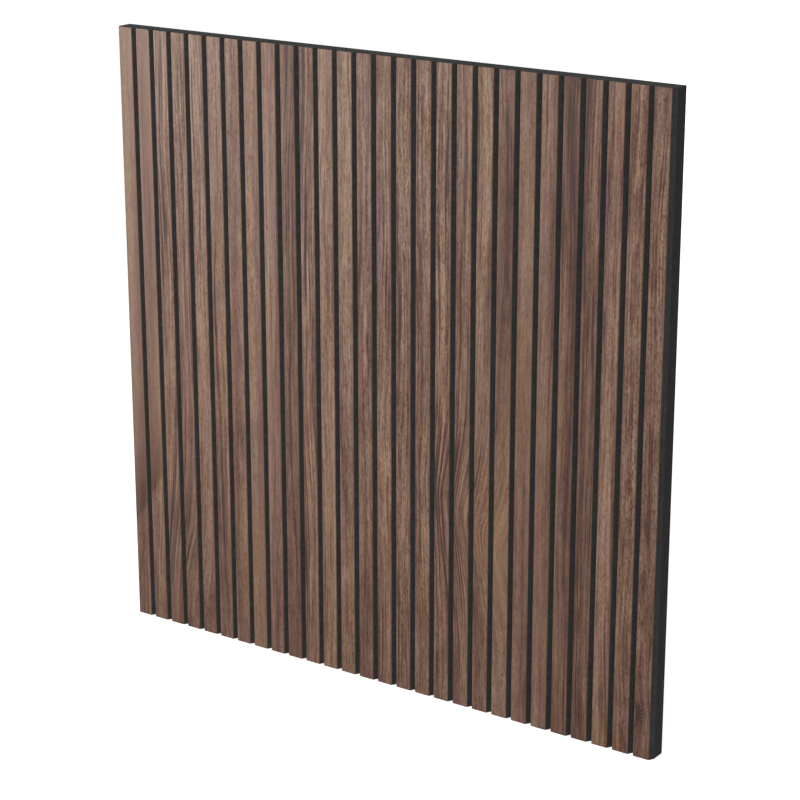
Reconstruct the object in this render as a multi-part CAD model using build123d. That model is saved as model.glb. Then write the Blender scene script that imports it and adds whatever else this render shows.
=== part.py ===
from build123d import *

import os
from math import radians, tan

# Slat wall panel, in millimetres: a board dyed black all through, faced with walnut veneer.
# A V cutter runs through the veneer into the board, and leaves one strip of veneer on each land.
# The outer cuts lie on the panel's side edges, so two panels pushed together share a whole groove.
# The origin is the centre of the back face. +Y runs into the wall, +Z is up, and the slats face -Y.

# Driving dimensions
panel_width = 600.0
panel_height = 600.0
board_thickness = 19.0
veneer_thickness = 0.6
slat_count = 28
groove_width = 6.0  # mouth of a whole groove, across the face of the veneer
groove_angle = 60.0  # between the two flanks, as the cutter is ground
groove_root = 0.2  # flat that the cutter's tip leaves at the bottom
cutter_standout = 1.0  # how far the cutter reaches out past the veneer as it cuts

# Sizes that follow
slat_pitch = panel_width / slat_count
panel_thickness = board_thickness + veneer_thickness
flank_slope = tan(radians(groove_angle / 2))  # sideways run of a flank over its depth
groove_depth = (groove_width - groove_root) / (2 * flank_slope)


def cut_layer(front, back):
    """Section of one layer of the panel, from Y front to Y back, with every groove cut through it."""
    cutter_height = groove_depth + cutter_standout
    cutter_width = groove_root + 2 * flank_slope * cutter_height
    flank_lean = 90 - groove_angle / 2
    with BuildSketch() as section:
        with Locations((0, (front + back) / 2)):
            Rectangle(panel_width, back - front)
        with Locations((0, groove_depth - panel_thickness)):
            with GridLocations(slat_pitch, 0, slat_count + 1, 1):
                Trapezoid(
                    cutter_width,
                    cutter_height,
                    flank_lean,
                    align=(Align.CENTER, Align.MAX),
                    mode=Mode.SUBTRACT,
                )
    return section.sketch


def full_height(section):
    """The section drawn out to the panel's height, half above the origin and half below it."""
    return extrude(section, amount=panel_height / 2, both=True)


def grooved_board():
    """The black board, with a land under each veneer strip and half a groove down each side edge."""
    return full_height(cut_layer(-board_thickness, 0))


def veneer_strips():
    """The walnut strips from left to right, seated on the lands, their long edges cut as the flanks."""
    veneer = cut_layer(-panel_thickness, -board_thickness)
    return [full_height(face) for face in veneer.faces().sort_by(Axis.X)]


os.makedirs("parts", exist_ok=True)
export_step(grooved_board(), "parts/grooved_board.step")
for number, strip in enumerate(veneer_strips(), start=1):
    export_step(strip, f"parts/veneer_strip_{number:02d}.step")
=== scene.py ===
import math

import bpy
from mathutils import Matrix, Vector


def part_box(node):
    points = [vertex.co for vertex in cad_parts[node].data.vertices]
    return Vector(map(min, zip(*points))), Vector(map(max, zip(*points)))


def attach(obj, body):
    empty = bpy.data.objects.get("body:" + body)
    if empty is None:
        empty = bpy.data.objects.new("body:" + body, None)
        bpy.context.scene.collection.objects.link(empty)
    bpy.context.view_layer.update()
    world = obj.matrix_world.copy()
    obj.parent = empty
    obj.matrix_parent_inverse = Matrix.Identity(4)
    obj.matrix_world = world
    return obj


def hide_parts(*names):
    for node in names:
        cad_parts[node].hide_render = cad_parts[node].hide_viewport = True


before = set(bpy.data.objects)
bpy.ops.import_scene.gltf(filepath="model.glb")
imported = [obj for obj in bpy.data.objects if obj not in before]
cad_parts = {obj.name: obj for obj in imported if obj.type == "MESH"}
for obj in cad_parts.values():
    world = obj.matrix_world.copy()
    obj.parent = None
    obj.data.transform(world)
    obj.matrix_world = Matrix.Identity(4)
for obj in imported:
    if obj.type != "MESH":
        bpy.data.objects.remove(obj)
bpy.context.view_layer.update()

# The slat wall panel's looks, in metres, in the CAD's frame: X to the right, +Y into the wall, Z up.
# Patterns are worked out in millimetres from each piece's Object coordinates.

BOARD = "grooved_board"
STRIPS = sorted(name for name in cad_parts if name.startswith("veneer_strip_"))
GROOVE_ANGLE = 60.0  # degrees between a groove's flanks
GROOVE_ROOT = 0.0002  # the flat that the cutter's tip leaves
ARRIS = 0.00015  # what a light sanding takes off a cut edge
MM = 1000.0

board_low, board_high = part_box(BOARD)
strip_low, strip_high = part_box(STRIPS[0])
panel_width = board_high.x - board_low.x
panel_height = board_high.z - board_low.z
board_thickness = board_high.y - board_low.y
veneer_thickness = strip_high.y - strip_low.y
slat_pitch = panel_width / len(STRIPS)
flank_slope = math.tan(math.radians(GROOVE_ANGLE / 2))  # sideways run of a flank over its depth
strip_back_width = strip_high.x - strip_low.x
strip_face_width = strip_back_width - 2 * flank_slope * veneer_thickness
groove_mouth = slat_pitch - strip_back_width  # at the face of the board, under the veneer
board_groove_depth = (groove_mouth - GROOVE_ROOT) / (2 * flank_slope)


class Bench:
    """A node tree in the making: put() places a node, and its inputs are numbers or other sockets."""

    def __init__(self, tree):
        self.tree = tree

    def put(self, kind, inputs=None, **settings):
        node = self.tree.nodes.new(kind)
        for name, value in settings.items():
            setattr(node, name, value)
        for key, value in (inputs or {}).items():
            self.feed(node.inputs[key], value)
        return node

    def feed(self, socket, value):
        if isinstance(value, bpy.types.NodeSocket):
            self.tree.links.new(value, socket)
        else:
            socket.default_value = value

    def calc(self, operation, *terms, clamp=False):
        node = self.put("ShaderNodeMath", operation=operation, use_clamp=clamp)
        for socket, value in zip(node.inputs, terms):
            self.feed(socket, value)
        return node.outputs[0]

    def times(self, a, b):
        return self.calc("MULTIPLY", a, b)

    def plus(self, *terms):
        total = terms[0]
        for term in terms[1:]:
            total = self.calc("ADD", total, term)
        return total

    def minus(self, a, b):
        return self.calc("SUBTRACT", a, b)

    def clamped(self, value):
        return self.calc("ADD", value, 0.0, clamp=True)

    def ramp_between(self, value, low, high, to_low=0.0, to_high=1.0, smooth=True):
        kind = "SMOOTHSTEP" if smooth else "LINEAR"
        inputs = {"Value": value, "From Min": low, "From Max": high, "To Min": to_low, "To Max": to_high}
        return self.put("ShaderNodeMapRange", inputs, interpolation_type=kind).outputs[0]

    def vector(self, x, y=0.0, z=0.0):
        return self.put("ShaderNodeCombineXYZ", {0: x, 1: y, 2: z}).outputs[0]

    def parts_of(self, vector):
        return self.put("ShaderNodeSeparateXYZ", {0: vector}).outputs

    def noise(self, place, scale, detail, roughness=0.5):
        inputs = {"Vector": place, "Scale": scale, "Detail": detail, "Roughness": roughness}
        return self.put("ShaderNodeTexNoise", inputs).outputs[0]

    def use(self, group, **inputs):
        """What a shader node group gives. Its inputs are named with underscores for spaces."""
        node = self.put("ShaderNodeGroup", node_tree=group)
        for key, value in inputs.items():
            self.feed(node.inputs[key.replace("_", " ")], value)
        return node.outputs[0]


def new_group(name, kind, inputs, outputs):
    """A node group with named sockets, its bench, and its input and output nodes."""
    group = bpy.data.node_groups.new(name, kind)
    for label, socket_type, value in inputs:
        socket = group.interface.new_socket(name=label, in_out="INPUT", socket_type=socket_type)
        if value is not None:
            socket.default_value = value
    for label, socket_type in outputs:
        group.interface.new_socket(name=label, in_out="OUTPUT", socket_type=socket_type)
    bench = Bench(group)
    return group, bench, bench.put("NodeGroupInput").outputs, bench.put("NodeGroupOutput").inputs


NUMBER = "NodeSocketFloat"
VECTOR = "NodeSocketVector"


# Forms

CUTTER_STANDOUT = 0.001  # how far the cutter stands out in front of the board
CUTTER_OVERRUN = 0.01  # how much longer it is than the board is tall


def tapered_bar(bench, back_width, front_width, depth, height, front_y):
    """A bar as tall as height, running back from front_y, wider or narrower at its front than at its back."""
    size = bench.vector(back_width, depth, height)
    blank = bench.put("GeometryNodeMeshCube", {"Size": size}).outputs["Mesh"]
    place = bench.parts_of(bench.put("GeometryNodeInputPosition").outputs[0])
    at_front = bench.calc("LESS_THAN", place[1], 0.0)
    widened = bench.times(bench.minus(front_width, back_width), 0.5)
    sideways = bench.times(bench.times(bench.calc("SIGN", place[0]), widened), at_front)
    backwards = bench.plus(front_y, bench.times(depth, 0.5))
    shift = bench.vector(sideways, backwards)
    return bench.put("GeometryNodeSetPosition", {"Geometry": blank, "Offset": shift}).outputs[0]


def row_of(bench, shape, count, pitch):
    """Copies of a shape side by side along X, centred on the panel."""
    start = bench.vector(bench.times(bench.times(bench.minus(count, 1.0), pitch), -0.5))
    step = bench.vector(pitch)
    line = bench.put("GeometryNodeMeshLine", {"Count": count, "Start Location": start, "Offset": step})
    points = line.outputs["Mesh"]
    copies = bench.put("GeometryNodeInstanceOnPoints", {"Points": points, "Instance": shape}).outputs[0]
    return bench.put("GeometryNodeRealizeInstances", {"Geometry": copies}).outputs[0]


def ease_outer_edges(bench, shape, seat_y):
    """Marks the convex edges for the arris, but leaves those in the glue plane at seat_y sharp."""
    near = 0.0001
    least_angle = 0.2
    ends = bench.put("GeometryNodeInputMeshEdgeVertices").outputs
    away = bench.calc("MAXIMUM", *[
        bench.calc("GREATER_THAN", bench.calc("ABSOLUTE", bench.minus(bench.parts_of(end)[1], seat_y)), near)
        for end in (ends["Position 1"], ends["Position 2"])
    ])
    signed_angle = bench.put("GeometryNodeInputMeshEdgeAngle").outputs[1]
    convex = bench.calc("GREATER_THAN", signed_angle, least_angle)
    inputs = {"Geometry": shape, "Name": "bevel_weight_edge", "Value": bench.times(away, convex)}
    store = bench.put("GeometryNodeStoreNamedAttribute", inputs, data_type="FLOAT", domain="EDGE")
    return store.outputs[0]


def strips_tree():
    """The veneer strips, one on each land, their long edges leaned over as the V cutter leaves them."""
    group, bench, given, out = new_group("veneer_strips_on_lands", "GeometryNodeTree", [
        ("Strip Count", "NodeSocketInt", 28),
        ("Pitch", NUMBER, 0.02),
        ("Back Width", NUMBER, 0.016),
        ("Face Width", NUMBER, 0.015),
        ("Thickness", NUMBER, 0.0006),
        ("Height", NUMBER, 0.6),
        ("Face Plane", NUMBER, -0.02),
        ("Veneer", "NodeSocketMaterial", None),
    ], [("Geometry", "NodeSocketGeometry")])
    strip = tapered_bar(bench, given["Back Width"], given["Face Width"], given["Thickness"],
                        given["Height"], given["Face Plane"])
    glue_plane = bench.plus(given["Face Plane"], given["Thickness"])
    strip = ease_outer_edges(bench, strip, glue_plane)
    strips = row_of(bench, strip, given["Strip Count"], given["Pitch"])
    finished = bench.put("GeometryNodeSetMaterial", {"Geometry": strips, "Material": given["Veneer"]})
    bench.feed(out[0], finished.outputs[0])
    return group


def board_tree():
    """The board: a blank, with a row of V cuts through its front whose outer two lie on its side edges."""
    group, bench, given, out = new_group("board_with_grooves", "GeometryNodeTree", [
        ("Groove Count", "NodeSocketInt", 29),
        ("Pitch", NUMBER, 0.02),
        ("Width", NUMBER, 0.6),
        ("Thickness", NUMBER, 0.019),
        ("Height", NUMBER, 0.6),
        ("Groove Mouth", NUMBER, 0.0053),
        ("Groove Root", NUMBER, 0.0002),
        ("Groove Depth", NUMBER, 0.0044),
        ("Flank Slope", NUMBER, 0.577),
        ("Black Board", "NodeSocketMaterial", None),
    ], [("Geometry", "NodeSocketGeometry")])
    face_plane = bench.times(given["Thickness"], -1.0)
    blank = tapered_bar(bench, given["Width"], given["Width"], given["Thickness"], given["Height"],
                        face_plane)
    cutter_depth = bench.plus(given["Groove Depth"], CUTTER_STANDOUT)
    cutter_mouth = bench.plus(given["Groove Mouth"], bench.times(given["Flank Slope"], 2 * CUTTER_STANDOUT))
    cutter_height = bench.plus(given["Height"], CUTTER_OVERRUN)
    cutter = tapered_bar(bench, given["Groove Root"], cutter_mouth, cutter_depth, cutter_height,
                         bench.minus(face_plane, CUTTER_STANDOUT))
    cutters = row_of(bench, cutter, given["Groove Count"], given["Pitch"])
    cut = bench.put("GeometryNodeMeshBoolean", operation="DIFFERENCE", solver="EXACT")
    bench.feed(cut.inputs["Mesh 1"], blank)
    bench.feed(cut.inputs["Mesh 2"], cutters)
    eased = ease_outer_edges(bench, cut.outputs[0], face_plane)
    finished = bench.put("GeometryNodeSetMaterial", {"Geometry": eased, "Material": given["Black Board"]})
    bench.feed(out[0], finished.outputs[0])
    return group


def made_by(name, tree, values):
    """A plain mesh object from a geometry tree, with its marked edges eased."""
    draft = bpy.data.objects.new(name + "_draft", bpy.data.meshes.new(name + "_draft"))
    bpy.context.scene.collection.objects.link(draft)
    making = draft.modifiers.new("making", "NODES")
    making.node_group = tree
    for item in tree.interface.items_tree:
        if item.in_out == "INPUT" and item.name in values:
            making[item.identifier] = values[item.name]
    easing = draft.modifiers.new("easing", "BEVEL")
    easing.limit_method = "WEIGHT"
    easing.width = ARRIS
    easing.segments = 2
    easing.use_clamp_overlap = True
    shown = draft.evaluated_get(bpy.context.evaluated_depsgraph_get())
    mesh = bpy.data.meshes.new_from_object(shown)
    mesh.name = name
    piece = bpy.data.objects.new(name, mesh)
    bpy.context.scene.collection.objects.link(piece)
    bpy.data.objects.remove(draft)
    return piece


# Effects that the finishes share


def grain_streaks_group():
    """Streaks of a given width and length, drawn out along the grain: about -1 to 1, with 0 in the middle.
    Depth says which slice of the noise they come from."""
    group, bench, given, out = new_group("grain_streaks", "ShaderNodeTree", [
        ("Across", NUMBER, 0.0),
        ("Along", NUMBER, 0.0),
        ("Depth", NUMBER, 0.0),
        ("Width", NUMBER, 2.0),
        ("Length", NUMBER, 60.0),
        ("Detail", NUMBER, 1.0),
        ("Fineness", NUMBER, 0.5),
    ], [("Streak", NUMBER)])
    across = bench.calc("DIVIDE", given["Across"], given["Width"])
    along = bench.calc("DIVIDE", given["Along"], given["Length"])
    place = bench.vector(across, along, given["Depth"])
    noise = bench.noise(place, 1.0, given["Detail"], given["Fineness"])
    bench.feed(out[0], bench.times(bench.minus(noise, 0.5), 3.0))
    return group


def grain_bow_group():
    """How far the grain is pushed aside where it bows round a point, in mm: most at the point's own height,
    which drops by Lean for each mm across, and fading in a rounded corner above and below it."""
    group, bench, given, out = new_group("grain_bow", "ShaderNodeTree", [
        ("Across", NUMBER, 0.0),
        ("Along", NUMBER, 0.0),
        ("Centre Across", NUMBER, 0.0),
        ("Centre Along", NUMBER, 0.0),
        ("Half Width", NUMBER, 60.0),
        ("Half Height", NUMBER, 50.0),
        ("Lean", NUMBER, 0.0),
        ("Push", NUMBER, 20.0),
    ], [("Shift", NUMBER)])
    corner_rounding = 0.06
    off = bench.minus(given["Across"], given["Centre Across"])
    sideways = bench.calc("DIVIDE", off, given["Half Width"])
    level = bench.plus(given["Centre Along"], bench.times(off, given["Lean"]))
    upwards = bench.calc("DIVIDE", bench.minus(given["Along"], level), given["Half Height"])
    corner = bench.calc("SQRT", bench.plus(bench.times(upwards, upwards), corner_rounding))
    far = bench.plus(bench.times(sideways, sideways), corner)
    bench.feed(out[0], bench.times(given["Push"], bench.calc("EXPONENT", bench.times(far, -1.0))))
    return group


def arris_wear_group():
    """1 on the edges of a centred flat face that is Width by Height, falling to 0 over Reach, in mm."""
    group, bench, given, out = new_group("arris_wear", "ShaderNodeTree", [
        ("Across", NUMBER, 0.0),
        ("Along", NUMBER, 0.0),
        ("Width", NUMBER, 15.0),
        ("Height", NUMBER, 600.0),
        ("Reach", NUMBER, 0.5),
        ("Unevenness", NUMBER, 0.5),
    ], [("Wear", NUMBER)])
    from_side = bench.minus(bench.times(given["Width"], 0.5), bench.calc("ABSOLUTE", given["Across"]))
    from_end = bench.minus(bench.times(given["Height"], 0.5), bench.calc("ABSOLUTE", given["Along"]))
    nearest = bench.calc("MINIMUM", from_side, from_end)
    noise = bench.noise(bench.vector(given["Across"], given["Along"]), 0.35, 2.0)
    patchy = bench.plus(1.0, bench.times(bench.minus(noise, 0.5), bench.times(given["Unevenness"], 4.0)))
    reach = bench.times(given["Reach"], bench.calc("MAXIMUM", patchy, 0.05))
    worn = bench.minus(1.0, bench.calc("DIVIDE", nearest, reach))
    bench.feed(out[0], bench.calc("MAXIMUM", worn, 0.0, clamp=True))
    return group


def handling_haze_group():
    """Broad soft patches, 0 to 1, where a finish is a little duller or shinier than around."""
    group, bench, given, out = new_group("handling_haze", "ShaderNodeTree", [
        ("Position", VECTOR, None),
        ("Patch Size", NUMBER, 60.0),
    ], [("Haze", NUMBER)])
    noise = bench.noise(given["Position"], bench.calc("DIVIDE", MM, given["Patch Size"]), 3.0)
    bench.feed(out[0], bench.ramp_between(noise, 0.3, 0.7))
    return group


def soft_patch_group():
    """1 at a centre, fading out over Half Width across the grain and Half Height along it."""
    group, bench, given, out = new_group("soft_patch", "ShaderNodeTree", [
        ("Across", NUMBER, 0.0),
        ("Along", NUMBER, 0.0),
        ("Centre Across", NUMBER, 0.0),
        ("Centre Along", NUMBER, 0.0),
        ("Half Width", NUMBER, 10.0),
        ("Half Height", NUMBER, 50.0),
    ], [("Patch", NUMBER)])
    sideways = bench.calc("DIVIDE", bench.minus(given["Across"], given["Centre Across"]), given["Half Width"])
    upwards = bench.calc("DIVIDE", bench.minus(given["Along"], given["Centre Along"]), given["Half Height"])
    far = bench.plus(bench.times(sideways, sideways), bench.times(upwards, upwards))
    bench.feed(out[0], bench.calc("EXPONENT", bench.times(far, -1.0)))
    return group


grain_streaks = grain_streaks_group()
grain_bow = grain_bow_group()
arris_wear = arris_wear_group()
handling_haze = handling_haze_group()
soft_patch = soft_patch_group()


# Finishes


def new_finish(name, **surface_values):
    """A material with a Principled surface, whose even values are set on its own sockets."""
    material = bpy.data.materials.new(name)
    material.use_nodes = True
    material.node_tree.nodes.clear()
    bench = Bench(material.node_tree)
    inputs = {key.replace("_", " "): value for key, value in surface_values.items()}
    surface = bench.put("ShaderNodeBsdfPrincipled", inputs)
    bench.put("ShaderNodeOutputMaterial", {"Surface": surface.outputs[0]})
    position = bench.put("ShaderNodeTexCoord").outputs["Object"]
    return material, bench, surface.inputs, position


def millimetres(bench, position):
    """X, Y and Z of the piece's own place, in millimetres."""
    scaled = bench.put("ShaderNodeVectorMath", {0: position, "Scale": MM}, operation="SCALE").outputs[0]
    return bench.parts_of(scaled)


def colour_ramp(bench, value, stops):
    """Colours laid along a value from 0 to 1, as (place, red, green, blue)."""
    ramp = bench.put("ShaderNodeValToRGB", {"Fac": value})
    points = ramp.color_ramp.elements
    while len(points) < len(stops):
        points.new(0.5)
    for point, (place, *colour) in zip(points, stops):
        point.position = place
        point.color = (*colour, 1.0)
    return ramp.outputs[0]


def blend_colours(bench, kind, share, first, second):
    node = bench.put("ShaderNodeMix", data_type="RGBA", blend_type=kind)
    for key, value in (("Factor", share), ("A", first), ("B", second)):
        socket = next(s for s in node.inputs if s.name == key and s.enabled)
        bench.feed(socket, value)
    return next(s for s in node.outputs if s.enabled)


def blend_value(bench, share, first, second):
    return bench.plus(first, bench.times(share, bench.minus(second, first)))


# The walnut's figure on the sheet, in mm from its centre. A place is its middle across and along, its half
# width and half height, and how much it does there.
LEAF_WIDTH = 150.0  # the veneer sheet is four leaves side by side
LEAF_DEPTH_STEP = 7.3  # far enough apart in the noise for each leaf to have a grain of its own

EYE_BOW = (150.0, -150.0, 84.0, 55.0, -0.75, 38.0)  # its last two are its lean and its push
EYE_FIGURE = (92.0, -120.0, 34.0, 105.0)
EYE_CENTRE = (141.0, -142.0, 11.0, 42.0)
HEART_PUSH = (-238.0, -305.0, 34.0, 125.0, 24.0)
HEART_FIGURE = (-236.0, -200.0, 18.0, 110.0, 0.6)
HEART_RIGHT = -262.0  # where the plain heart ends
HEART_FOOT = -147.0  # the height of its sloping lower edge there
HEART_SLOPE = -1.5
KNOT_PUSH = (284.0, -258.0, 12.0, 16.0, -6.0)
KNOT_MIDDLE = (286.0, -247.0)
KNOT_RINGS = (286.0, -257.0, 6.0, 7.0)
RING_SPACING = 5.2
KNOT_RING_SPACING = 3.2

STREAKY_PLACES = [
    (-246.0, 0.0, 9.0, 500.0, 0.5),
    (-76.0, 0.0, 10.0, 500.0, 1.0),
    (76.0, -20.0, 10.0, 450.0, 0.9),
    (226.0, 0.0, 11.0, 500.0, 0.4),
    (-146.0, 0.0, 24.0, 600.0, -0.65),
    (163.0, 0.0, 30.0, 600.0, -0.6),
    (-291.0, 0.0, 12.0, 600.0, -0.6),
]
FLECKED_PLACES = [
    (30.0, 0.0, 70.0, 600.0, 0.25),
    (283.0, 0.0, 20.0, 600.0, 0.62),
    (-130.0, 0.0, 20.0, 600.0, -0.42),
    (-54.0, 0.0, 12.0, 600.0, -0.35),
    (185.0, 0.0, 30.0, 600.0, -0.25),
]
DARK_BANDS = [  # these follow the grain
    (-91.0, -60.0, 13.0, 420.0, 0.26),
    (212.0, 60.0, 16.0, 420.0, 0.38),
]
DARK_PLACES = [
    (140.0, 135.0, 10.0, 130.0, 0.30),  # high above the eye
    (80.5, 150.0, 2.2, 70.0, 0.30),  # the dark line above the eye's figure, and its lower end
    (79.0, 55.0, 1.8, 50.0, 0.26),
    (76.0, -92.0, 9.0, 34.0, 0.12),  # in the eye's figure
    (93.0, -140.0, 8.0, 44.0, 0.14),
    (-225.0, -230.0, 12.0, 120.0, 0.10),  # in the heart's figure, and all round it
    (-235.0, -240.0, 80.0, 120.0, 0.09),
    (-45.0, -60.0, 42.0, 100.0, 0.08),  # left of the middle
    (-12.0, -205.0, 8.0, 26.0, 0.16),  # a spot below the middle
    (205.0, 190.0, 26.0, 130.0, 0.09),  # the upper right
    (230.0, 220.0, 80.0, 130.0, 0.06),
    (290.0, -60.0, 9.0, 300.0, 0.16),  # the right edge
    (285.5, -254.0, 4.0, 7.0, 0.24),  # the knot and its tail
    (288.0, -267.0, 4.5, 10.0, 0.16),
    (269.0, -250.0, 11.0, 8.0, 0.24),  # the smudge beside the knot, and the spot beyond it
    (247.5, -250.0, 4.0, 11.0, 0.34),
]
PALE_PLACES = [
    (-204.0, 60.0, 10.0, 500.0, 0.12),  # four pale bands
    (-118.0, 0.0, 14.0, 600.0, 0.08),
    (-54.0, 40.0, 10.0, 500.0, 0.13),
    (246.0, -60.0, 10.0, 400.0, 0.12),
    (0.0, 230.0, 110.0, 110.0, 0.075),  # the top
    (-35.0, -199.0, 8.0, 8.0, 0.16),  # beside the spot below the middle
    (102.0, -101.0, 4.0, 24.0, 0.36),  # the pale wedge in the eye's figure
    (86.0, 0.0, 30.0, 70.0, 0.06),  # above the eye's figure
    (73.0, 90.0, 4.5, 130.0, 0.10),  # beside the dark line there
    (138.0, -268.0, 34.0, 40.0, 0.12),  # below the eye
]
REDDER_PLACES = [
    (0.0, 190.0, 130.0, 160.0, -0.28),
    (225.0, -160.0, 9.0, 100.0, -0.20),
    (246.0, -170.0, 9.0, 150.0, 0.16),
]
YELLOWER_PLACES = [
    (258.0, -285.0, 28.0, 26.0, 0.45),
    (80.0, -20.0, 45.0, 60.0, 0.25),
]

# Its colours, as (place, red, green, blue)
WALNUT_TONES = [
    (0.0, 0.040, 0.015, 0.008),
    (0.2, 0.073, 0.030, 0.016),
    (0.4, 0.115, 0.056, 0.033),
    (0.6, 0.157, 0.084, 0.053),
    (0.8, 0.200, 0.114, 0.073),
    (1.0, 0.240, 0.145, 0.096),
]
FINE_SHADES = [  # redder where they are darker
    (0.0, 0.48, 0.29, 0.14),
    (0.25, 0.73, 0.58, 0.44),
    (0.5, 1.02, 1.03, 1.04),
    (0.75, 1.17, 1.27, 1.40),
    (1.0, 1.28, 1.44, 1.67),
]
OLIVE_TO_RED = [(0.0, 0.875, 1.01, 1.04), (1.0, 1.035, 0.96, 0.99)]
PURPLE_TO_YELLOW = [(0.0, 0.97, 0.965, 1.18), (1.0, 1.015, 1.02, 0.86)]
PORE_SHADE = (0.42, 0.32, 0.27, 1.0)
WORN_WALNUT = (0.20, 0.115, 0.078, 1.0)


class WalnutSheet:
    """The veneer sheet before the grooves cut it: places on it, the run of its grain, and its figure."""

    def __init__(self, bench, position):
        self.bench = bench
        self.x, _, self.z = millimetres(bench, position)
        self.from_left = bench.plus(self.x, panel_width * MM / 2)
        self.leaf = bench.calc("FLOOR", bench.calc("DIVIDE", self.from_left, LEAF_WIDTH))
        self.leaf_depth = bench.times(self.leaf, LEAF_DEPTH_STEP)
        self.lay_grain()
        self.mark_zones()
        self.draw_rings()

    def on_leaf(self, number, value):
        """The value on one leaf, counted from 0 at the left, and 0 on the others."""
        return self.bench.times(self.bench.calc("COMPARE", self.leaf, float(number), 0.25), value)

    def streaks(self, across, width, length, depth, detail=1.0, fineness=0.5):
        depth_on_leaf = self.bench.plus(self.leaf_depth, depth)
        return self.bench.use(grain_streaks, Across=across, Along=self.z, Depth=depth_on_leaf, Width=width,
                              Length=length, Detail=detail, Fineness=fineness)

    def bow(self, across, along, half_width, half_height, lean, push):
        return self.bench.use(grain_bow, Across=self.x, Along=self.z, Centre_Across=across,
                              Centre_Along=along, Half_Width=half_width, Half_Height=half_height,
                              Lean=lean, Push=push)

    def patch(self, across, along, half_width, half_height, strength=1.0, of=None):
        """A soft patch, placed across the sheet by x, or by another measure such as the grain."""
        measure = self.x if of is None else of
        soft = self.bench.use(soft_patch, Across=measure, Along=self.z, Centre_Across=across,
                              Centre_Along=along, Half_Width=half_width, Half_Height=half_height)
        return self.bench.times(soft, strength)

    def patches(self, places, of=None):
        return self.bench.plus(*[self.patch(*place, of=of) for place in places])

    def lay_grain(self):
        """Where the grain goes: each line of it keeps one value of grain as it wanders up the sheet."""
        bench, x = self.bench, self.x
        eye_push = self.on_leaf(2, self.bow(*EYE_BOW))
        heart_push = self.on_leaf(0, self.patch(*HEART_PUSH))
        knot_push = self.on_leaf(3, self.patch(*KNOT_PUSH))
        wander = bench.times(self.streaks(x, 70.0, 260.0, 0.0), 5.0)
        self.waver = bench.times(self.streaks(x, 14.0, 60.0, 1.7), 0.8)
        curl = bench.times(self.streaks(x, 4.0, 6.0, 2.6), 0.5)
        self.grain = bench.plus(x, wander, self.waver, eye_push, heart_push, knot_push)
        self.curly_grain = bench.plus(self.grain, curl)

    def mark_zones(self):
        """The figure round the eye and its plain middle, the plain heart at the left with its dark rim, and
        how bold the streaks and how lively the flecks are over the sheet."""
        bench, x = self.bench, self.x
        self.figured = bench.plus(self.on_leaf(2, self.patch(*EYE_FIGURE)),
                                  self.on_leaf(0, self.patch(*HEART_FIGURE)))
        self.eye_centre = self.on_leaf(2, self.patch(*EYE_CENTRE))
        slanted = bench.times(bench.minus(x, HEART_RIGHT), HEART_SLOPE)
        over_edge = bench.plus(slanted, self.z, -HEART_FOOT)
        left_of_heart = bench.ramp_between(x, HEART_RIGHT, HEART_RIGHT + 12.0, 1.0, 0.0)
        in_heart = bench.times(bench.ramp_between(over_edge, -4.0, 8.0), left_of_heart)
        above_edge = bench.times(bench.ramp_between(over_edge, -5.0, 4.0), left_of_heart)
        fading = bench.ramp_between(over_edge, 4.0, 75.0, 1.0, 0.0, smooth=False)
        self.heart_rim = bench.times(above_edge, fading)
        plain = bench.calc("MAXIMUM", bench.times(self.eye_centre, 0.75), bench.times(in_heart, 0.6))
        self.calm = bench.minus(1.0, plain)
        self.bold = bench.times(self.calm, bench.plus(
            0.85,
            bench.times(self.streaks(x, 30.0, 500.0, 25.0), 0.4),
            bench.times(self.figured, -0.3),
            self.patches(STREAKY_PLACES),
        ))
        self.lively = bench.times(self.calm, bench.plus(
            0.81,
            bench.times(self.streaks(x, 26.0, 300.0, 19.0), 0.3),
            bench.times(self.figured, -0.25),
            self.patches(FLECKED_PLACES),
        ))

    def draw_rings(self):
        """The growth rings that show round the eye and the heart, and the small ones in the knot."""
        bench = self.bench
        uneven = bench.times(self.streaks(self.grain, 12.0, 300.0, 14.2), 9.0)
        wave = bench.calc("SINE", bench.times(bench.plus(self.grain, uneven), math.tau / RING_SPACING))
        weight = bench.ramp_between(self.streaks(self.grain, 6.0, 200.0, 27.0), -0.3, 0.4, 0.25, 1.0)
        lines = bench.times(bench.ramp_between(wave, -0.1, 0.9), weight)
        self.rings = bench.times(lines, bench.times(self.figured, self.calm))
        across = bench.minus(self.x, KNOT_MIDDLE[0])
        along = bench.minus(self.z, KNOT_MIDDLE[1])
        far = bench.calc("SQRT", bench.plus(bench.times(across, across), bench.times(along, along)))
        knot_wave = bench.calc("SINE", bench.times(bench.plus(far, self.waver), math.tau / KNOT_RING_SPACING))
        self.knot_rings = bench.times(bench.ramp_between(knot_wave, 0.0, 0.9), self.patch(*KNOT_RINGS))


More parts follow.
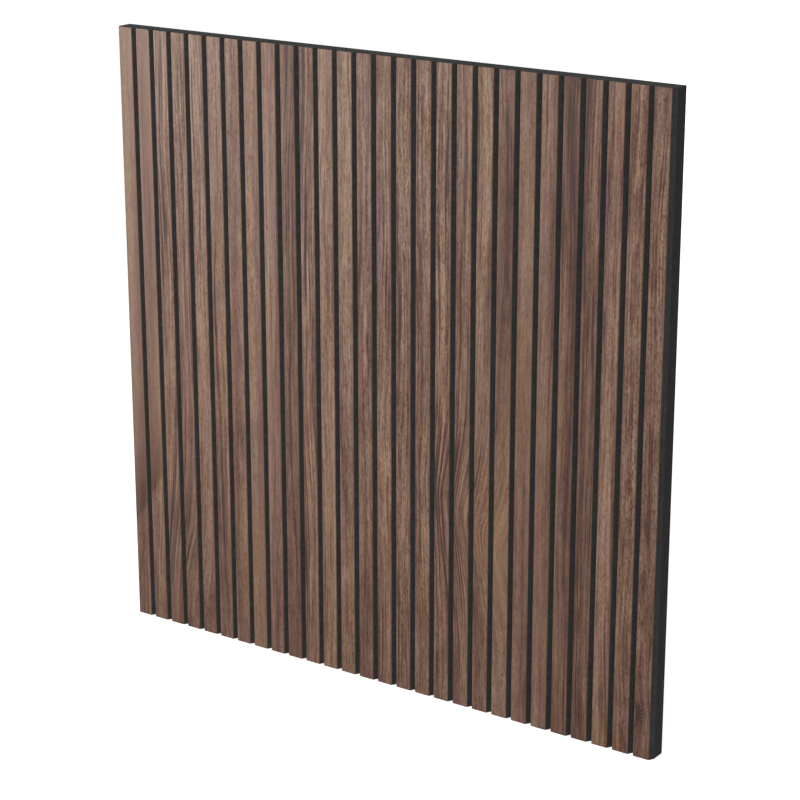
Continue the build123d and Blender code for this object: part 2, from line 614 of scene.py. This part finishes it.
def walnut_veneer():
    """Upright-grained walnut in four leaves: bands, streaks, pores, an eye, a swirl and a knot."""
    material, bench, surface, position = new_finish("walnut_veneer", Specular_IOR_Level=0.25)
    sheet = WalnutSheet(bench, position)
    streaks, grain, curly_grain = sheet.streaks, sheet.grain, sheet.curly_grain
    bold, lively = sheet.bold, sheet.lively

    # Tone of the bands and streaks, from 0 dark to 1 light
    bands = streaks(grain, 12.0, 500.0, 3.1)
    streaky = streaks(grain, 3.0, 200.0, 5.2)
    hairlines = streaks(grain, 1.5, 100.0, 8.4, 2.0, 0.6)
    mottle = streaks(curly_grain, 5.0, 30.0, 13.4)
    veins = bench.ramp_between(streaks(grain, 2.2, 150.0, 40.3), 0.18, 0.5)
    dark = bench.plus(
        sheet.patches(DARK_BANDS, of=grain),
        sheet.patches(DARK_PLACES),
        bench.times(sheet.heart_rim, 0.33),
        bench.times(sheet.knot_rings, 0.48),
    )
    tone = bench.plus(
        0.607,
        bench.times(bands, 0.31),
        bench.times(streaky, bench.times(bold, 0.31)),
        bench.times(hairlines, bench.times(bold, 0.16)),
        bench.times(veins, bench.times(bold, -0.36)),
        bench.times(mottle, bench.times(lively, 0.26)),
        bench.times(sheet.rings, -0.95),
        bench.times(dark, -1.0),
        sheet.patches(PALE_PLACES),
        bench.times(sheet.eye_centre, 0.20),
    )
    wood = colour_ramp(bench, bench.clamped(tone), WALNUT_TONES)

    # Fine figure on top: threads, flecks, specks and fibres
    threads = streaks(curly_grain, 1.0, 25.0, 11.9, 2.0, 0.6)
    flecks = streaks(curly_grain, 1.8, 7.0, 16.1, 1.0, 0.6)
    specks = streaks(curly_grain, 1.0, 3.2, 29.3, 0.0)
    fibres = streaks(curly_grain, 0.3, 12.0, 44.0)
    short_figure = bench.plus(
        bench.times(threads, 0.24),
        bench.times(flecks, 0.25),
        bench.times(specks, 0.16),
    )
    fine = bench.plus(
        bench.times(hairlines, bench.times(bold, 0.22)),
        bench.times(short_figure, lively),
        bench.times(fibres, 0.10),
    )
    fine_shade = colour_ramp(bench, bench.ramp_between(fine, -0.4, 0.4, smooth=False), FINE_SHADES)
    wood = blend_colours(bench, "MULTIPLY", 1.0, wood, fine_shade)

    # Hue: the wood runs from olive tan to red brown, and from purple to yellow brown
    half_width = panel_width * MM / 2
    redness = bench.plus(
        bench.times(streaks(grain, 3.0, 150.0, 24.5, 2.0, 0.7), 0.75),
        bench.times(streaks(curly_grain, 1.4, 8.0, 33.0), 0.65),
        bench.times(bench.ramp_between(sheet.x, -half_width, half_width, -1.0, 1.0, smooth=False), 0.07),
        bench.times(sheet.rings, 0.20),
        sheet.patches(REDDER_PLACES),
    )
    reddened = colour_ramp(bench, bench.ramp_between(redness, -0.5, 0.5, smooth=False), OLIVE_TO_RED)
    wood = blend_colours(bench, "MULTIPLY", 1.0, wood, reddened)
    yellowness = bench.plus(
        bench.times(streaks(grain, 24.0, 300.0, 17.5), 0.3),
        bench.times(streaks(grain, 2.6, 60.0, 18.5, 2.0, 0.6), 0.8),
        bench.times(streaks(curly_grain, 1.2, 5.0, 22.5), 0.5),
        bench.times(sheet.eye_centre, 0.95),
        bench.times(bands, 0.35),
        bench.times(sheet.figured, 0.20),
        bench.times(sheet.rings, -0.95),
        bench.times(sheet.knot_rings, -1.0),
        sheet.patches(YELLOWER_PLACES),
    )
    yellowed = colour_ramp(bench, bench.ramp_between(yellowness, -0.6, 0.6, smooth=False), PURPLE_TO_YELLOW)
    wood = blend_colours(bench, "MULTIPLY", 1.0, wood, yellowed)

    # Pores: short dark dashes along the grain, a few of them open and the rest fine
    open_pores = bench.times(bench.ramp_between(streaks(curly_grain, 0.7, 4.0, 21.0, 0.0), 0.5, 0.9), lively)
    fine_pores = bench.times(bench.ramp_between(streaks(curly_grain, 0.3, 3.5, 51.0, 0.0), 0.4, 0.8), lively)
    wood = blend_colours(bench, "MULTIPLY", bench.times(open_pores, 0.55), wood, PORE_SHADE)
    wood = blend_colours(bench, "MULTIPLY", bench.times(fine_pores, 0.5), wood, PORE_SHADE)

    # Edges: the lacquer is thinner on the arrises, which are a little paler there
    slat_width = slat_pitch * MM
    slat_x = bench.minus(bench.calc("MODULO", sheet.from_left, slat_width), slat_width / 2)
    wear = bench.use(arris_wear, Across=slat_x, Along=sheet.z, Width=strip_face_width * MM,
                     Height=panel_height * MM, Reach=0.45)
    wood = blend_colours(bench, "MIX", bench.times(wear, 0.35), wood, WORN_WALNUT)
    bench.feed(surface["Base Color"], wood)

    haze = bench.use(handling_haze, Position=position, Patch_Size=90.0)
    roughness = bench.plus(
        0.46,
        bench.times(haze, 0.06),
        bench.times(open_pores, 0.15),
        bench.times(wear, 0.08),
    )
    bench.feed(surface["Roughness"], roughness)
    height = bench.minus(bench.times(threads, 0.25), open_pores)
    bump = bench.put("ShaderNodeBump", {"Height": height, "Strength": 0.5, "Distance": 0.00004})
    bench.feed(surface["Normal"], bump.outputs[0])
    return material


BLACK_TONES = [
    (0.0, 0.028, 0.028, 0.028),
    (0.5, 0.055, 0.055, 0.055),
    (1.0, 0.100, 0.100, 0.099),
]
WORN_BLACK = (0.082, 0.082, 0.080, 1.0)


def black_board():
    """Fibreboard dyed black all through: fine pressed fibres, cutter lines in the grooves, sawn ends, and
    painted light that makes the groove flanks a little lighter than the sides.
    """
    material, bench, surface, position = new_finish("black_board", Specular_IOR_Level=0.02)
    x, y, z = millimetres(bench, position)
    _, facing_back, facing_up = bench.parts_of(bench.put("ShaderNodeTexCoord").outputs["Normal"])
    on_ends = bench.ramp_between(bench.calc("ABSOLUTE", facing_up), 0.6, 0.9)
    on_back = bench.ramp_between(facing_back, 0.6, 0.9)
    # painted light: the faces turned to the front, the groove flanks among them, are coloured a little
    # lighter than the sides
    painted_light_on_flanks = bench.ramp_between(facing_back, -0.4, -0.2, 1.0, 0.0)

    def lines(across, along, width, length, depth, detail=2.0):
        return bench.use(grain_streaks, Across=across, Along=along, Depth=depth, Width=width, Length=length,
                         Detail=detail)

    pressed = bench.minus(bench.noise(position, 900.0, 3.0), 0.5)
    clumps = bench.minus(bench.noise(position, 160.0, 2.0), 0.5)
    fibres = lines(bench.plus(x, y), z, 0.25, 1.8, 4.0)
    cutter_lines = lines(bench.plus(x, bench.times(y, 1.3)), z, 0.35, 260.0, 9.0, detail=1.0)
    saw_lines = lines(x, y, 0.7, 30.0, 15.0)
    sanding = lines(z, x, 0.4, 90.0, 22.0)
    tooled = blend_value(bench, on_ends, cutter_lines, saw_lines)
    tooled = blend_value(bench, on_back, tooled, sanding)

    tone = bench.plus(
        0.42,
        # the painted light on the groove flanks
        bench.times(painted_light_on_flanks, 0.10),
        bench.times(pressed, 0.9),
        bench.times(clumps, 0.5),
        bench.times(fibres, 0.08),
        bench.times(tooled, 0.10),
        bench.times(on_ends, 0.13),
    )
    black = colour_ramp(bench, bench.clamped(tone), BLACK_TONES)
    wear = bench.use(arris_wear, Across=x, Along=z, Width=panel_width * MM, Height=panel_height * MM,
                     Reach=0.7)
    black = blend_colours(bench, "MIX", bench.times(wear, 0.25), black, WORN_BLACK)
    bench.feed(surface["Base Color"], black)

    haze = bench.use(handling_haze, Position=position, Patch_Size=45.0)
    roughness = bench.plus(0.72, bench.times(haze, 0.08), bench.times(pressed, 0.25))
    bench.feed(surface["Roughness"], roughness)
    height = bench.plus(bench.times(pressed, 0.6), bench.times(tooled, 0.35), bench.times(fibres, 0.2))
    bump = bench.put("ShaderNodeBump", {"Height": height, "Strength": 0.5, "Distance": 0.00006})
    bench.feed(surface["Normal"], bump.outputs[0])
    return material


# The panel

walnut = walnut_veneer()
black = black_board()

board = made_by("panel_board", board_tree(), {
    "Groove Count": len(STRIPS) + 1,
    "Pitch": slat_pitch,
    "Width": panel_width,
    "Thickness": board_thickness,
    "Height": panel_height,
    "Groove Mouth": groove_mouth,
    "Groove Root": GROOVE_ROOT,
    "Groove Depth": board_groove_depth,
    "Flank Slope": flank_slope,
    "Black Board": black,
})
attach(board, "root")
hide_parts(BOARD)

strips = made_by("walnut_strips", strips_tree(), {
    "Strip Count": len(STRIPS),
    "Pitch": slat_pitch,
    "Back Width": strip_back_width,
    "Face Width": strip_face_width,
    "Thickness": veneer_thickness,
    "Height": panel_height,
    "Face Plane": strip_low.y,
    "Veneer": walnut,
})
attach(strips, "root")
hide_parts(*STRIPS)


# Studio

WHITE = (1.0, 1.0, 1.0, 1.0)
SURROUND_LIGHT = 0.30  # what the white surroundings give as light
FLOOR_TONE = 0.72
FLOOR_LIFT = 0.79  # added for the eye and for reflections only, so that open floor shows white
FLOOR_HALF = 10.0
FLOOR_GAP = 0.0001  # under the panel, so that its end and the floor don't share a plane
CAMERA_PLACE = (1.1817, -1.6737, 0.6234)
CAMERA_DROP = 17.52  # degrees that it looks down
CAMERA_TURN = 34.88  # degrees that it looks round to the left
CAMERA_LENS = 104.17  # mm, on a sensor 36 mm wide

scene = bpy.context.scene
scene.view_settings.view_transform = "Standard"


def seen_directly(bench):
    """1 for what the camera sees, straight or in a gloss or glass surface, and 0 for light on things."""
    path = bench.put("ShaderNodeLightPath").outputs
    straight_or_gloss = bench.calc("MAXIMUM", path["Is Camera Ray"], path["Is Glossy Ray"])
    return bench.calc("MAXIMUM", straight_or_gloss, path["Is Transmission Ray"])


def white_surroundings():
    world = bpy.data.worlds.new("white_surroundings")
    world.use_nodes = True
    world.node_tree.nodes.clear()
    bench = Bench(world.node_tree)
    strength = blend_value(bench, seen_directly(bench), SURROUND_LIGHT, 1.0)
    shown = bench.put("ShaderNodeBackground", {"Color": WHITE, "Strength": strength})
    bench.put("ShaderNodeOutputWorld", {"Surface": shown.outputs[0]})
    return world


def pale_floor():
    """A matt floor that shows white where no shadow falls, and that nothing below it can see."""
    level = board_low.z - FLOOR_GAP
    corners = [(x * FLOOR_HALF, y * FLOOR_HALF, level) for x, y in ((-1, -1), (1, -1), (1, 1), (-1, 1))]
    mesh = bpy.data.meshes.new("floor")
    mesh.from_pydata(corners, [], [(0, 1, 2, 3)])
    floor = bpy.data.objects.new("floor", mesh)
    scene.collection.objects.link(floor)

    material = bpy.data.materials.new("pale_floor")
    material.use_nodes = True
    material.node_tree.nodes.clear()
    bench = Bench(material.node_tree)
    matt = bench.put("ShaderNodeBsdfDiffuse", {"Color": (FLOOR_TONE, FLOOR_TONE, FLOOR_TONE, 1.0)})
    lift = bench.times(seen_directly(bench), FLOOR_LIFT)
    glow = bench.put("ShaderNodeEmission", {"Color": WHITE, "Strength": lift})
    pale = bench.put("ShaderNodeAddShader", {0: matt.outputs[0], 1: glow.outputs[0]})
    beneath = bench.put("ShaderNodeNewGeometry").outputs["Backfacing"]
    clear = bench.put("ShaderNodeBsdfTransparent")
    both = bench.put("ShaderNodeMixShader", {0: beneath, 1: pale.outputs[0], 2: clear.outputs[0]})
    bench.put("ShaderNodeOutputMaterial", {"Surface": both.outputs[0]})
    mesh.materials.append(material)


def soft_lamp(name, place, aim, size, power, spread):
    """A square soft lamp at place, turned to aim, that the camera doesn't see. Spread is in degrees."""
    light = bpy.data.lights.new(name, "AREA")
    light.shape = "SQUARE"
    light.size = size
    light.energy = power
    light.spread = math.radians(spread)
    lamp = bpy.data.objects.new(name, light)
    scene.collection.objects.link(lamp)
    lamp.location = place
    right, inward, up = (a - p for a, p in zip(aim, place))
    tilt = math.atan2(math.hypot(right, inward), -up)
    turn = math.atan2(-right, inward)
    lamp.rotation_euler = (tilt, 0.0, turn)
    lamp.visible_camera = False


def photographer_camera():
    lens = bpy.data.cameras.new("camera")
    lens.lens = CAMERA_LENS
    lens.sensor_width = 36.0
    camera = bpy.data.objects.new("camera", lens)
    scene.collection.objects.link(camera)
    camera.location = CAMERA_PLACE
    camera.rotation_euler = (math.radians(90 - CAMERA_DROP), 0.0, math.radians(CAMERA_TURN))
    scene.camera = camera


scene.world = white_surroundings()
pale_floor()
soft_lamp("left_lamp", place=(-1.70, -1.42, 0.40), aim=(-0.42, 0.0, 0.34), size=0.9, power=4.2, spread=50.0)
soft_lamp("front_lamp", place=(0.15, -3.3, 1.0), aim=(0.0, 0.0, 0.0), size=2.4, power=66.0, spread=180.0)
soft_lamp("back_lamp", place=(-1.2, 3.4, 0.0), aim=(0.0, 0.0, 0.0), size=0.6, power=12.0, spread=60.0)
photographer_camera()
